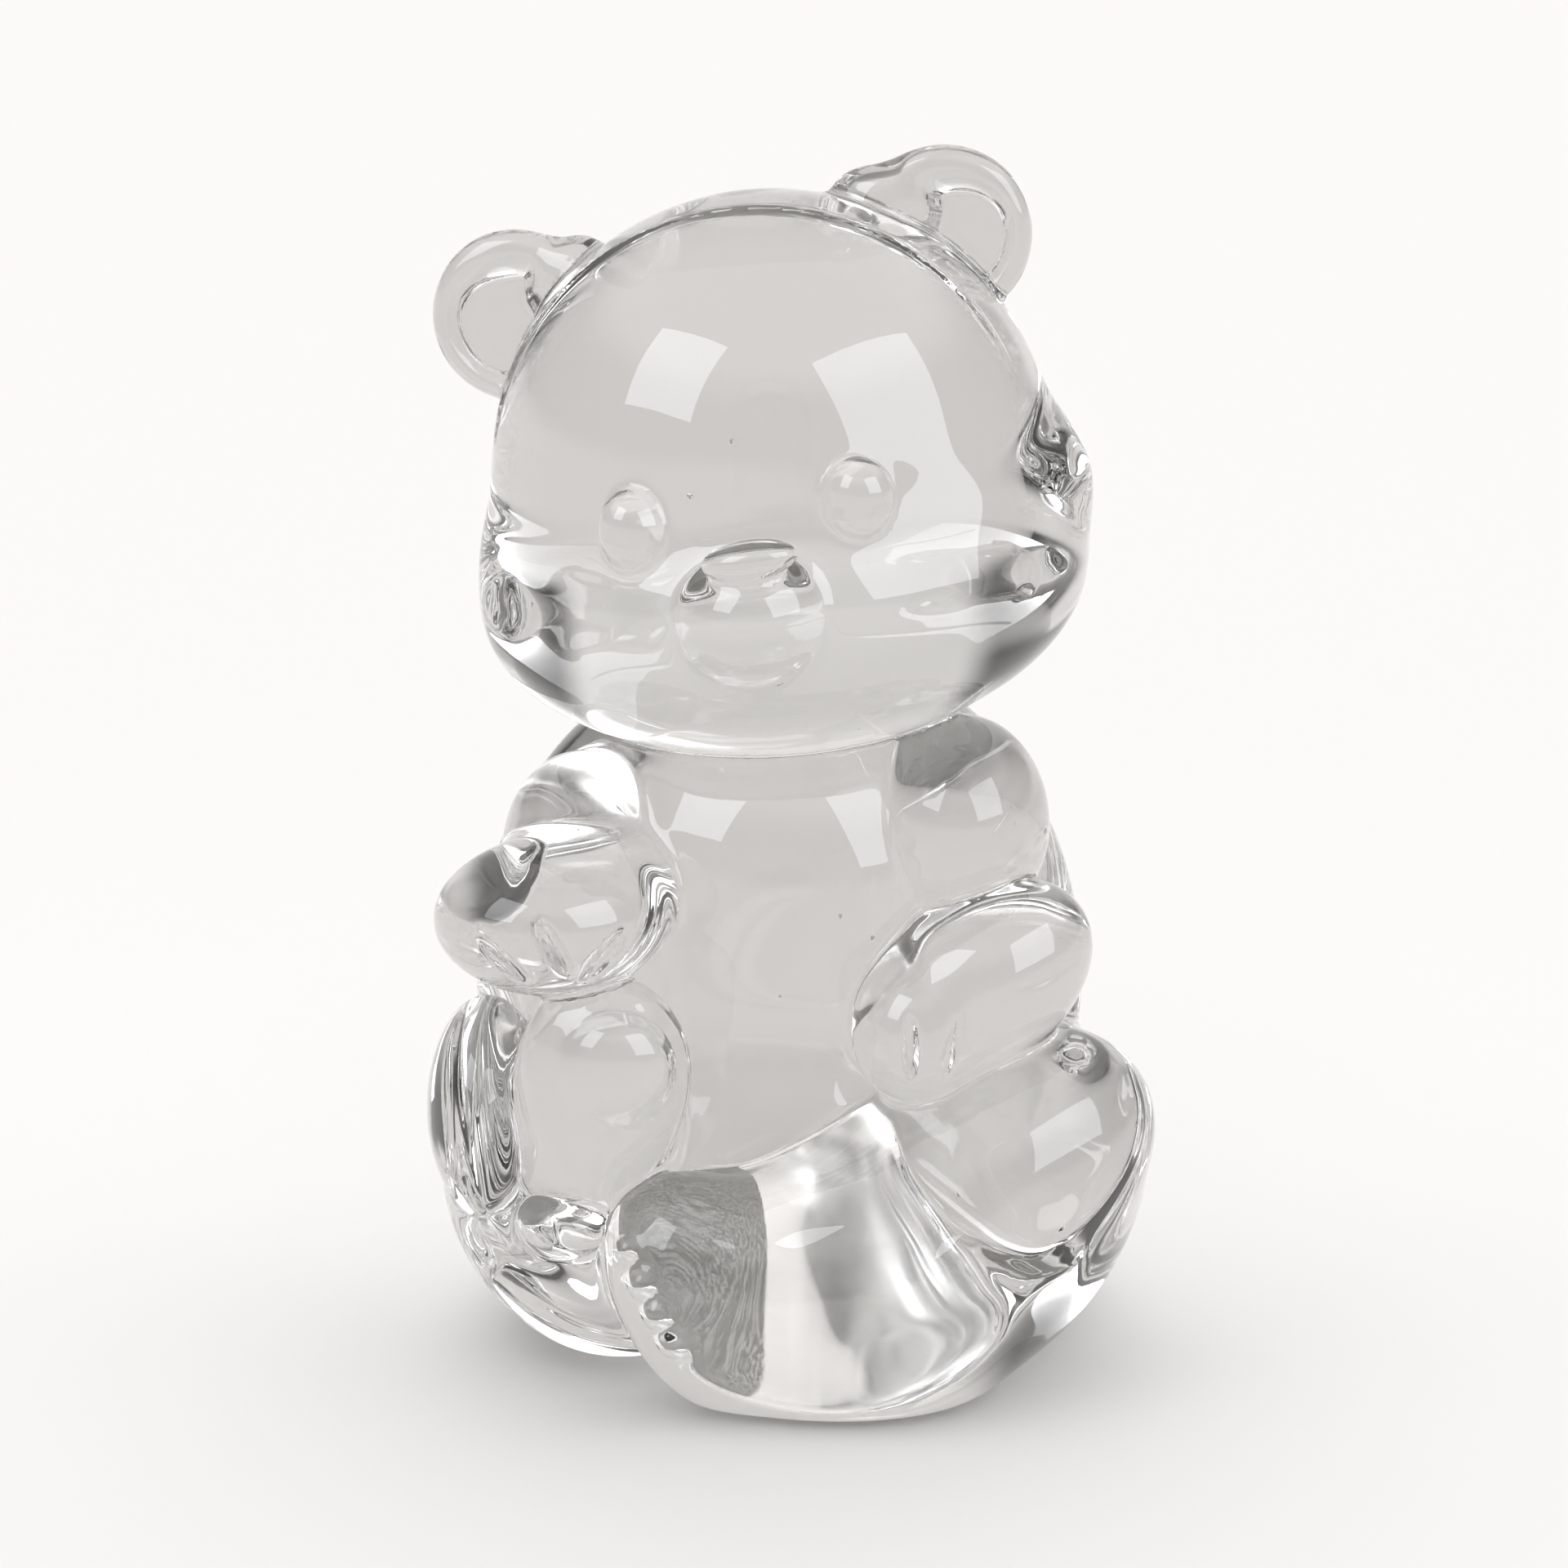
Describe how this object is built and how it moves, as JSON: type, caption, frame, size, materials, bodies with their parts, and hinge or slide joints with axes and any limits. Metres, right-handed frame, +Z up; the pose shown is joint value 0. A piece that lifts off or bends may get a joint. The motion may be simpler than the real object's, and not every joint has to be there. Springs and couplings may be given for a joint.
{
  "type": "glass bear figurine",
  "caption": "Solid clear pressed-glass bear cub, sitting with tilted head, round rimmed ears, one paw over its raised foot and a flat ground base.",
  "frame": {"origin": "point on the flat ground base under the middle of the belly", "axes": "+Z up, the bear faces -Y, the bear's own left is +X"},
  "size_m": [0.0536, 0.0475, 0.0889],
  "materials": {
    "clear_glass": "fire-polished clear lead-free crystal glass",
    "base_glass": "fire-polished clear glass with a finely ground flat underside"
  },
  "bodies": {
    "root": {"head": "clear_glass", "muzzle": "clear_glass", "nose": "clear_glass", "eye_left": "clear_glass", "eye_right": "clear_glass", "ear_left": "clear_glass", "ear_right": "clear_glass", "torso": "base_glass", "upper_arm_left": "clear_glass", "upper_arm_right": "clear_glass", "forearm_left": "clear_glass", "forearm_right": "clear_glass", "paw_left": "clear_glass", "paw_right": "clear_glass", "haunch_left": "base_glass", "haunch_right": "base_glass", "knee_right": "clear_glass", "shin_left": "base_glass", "shin_right": "clear_glass", "foot_left": "base_glass", "foot_right": "clear_glass", "heel_right": "clear_glass", "sole_pad_right": "clear_glass", "toes_left": "clear_glass"}
  },
  "joints": []
}
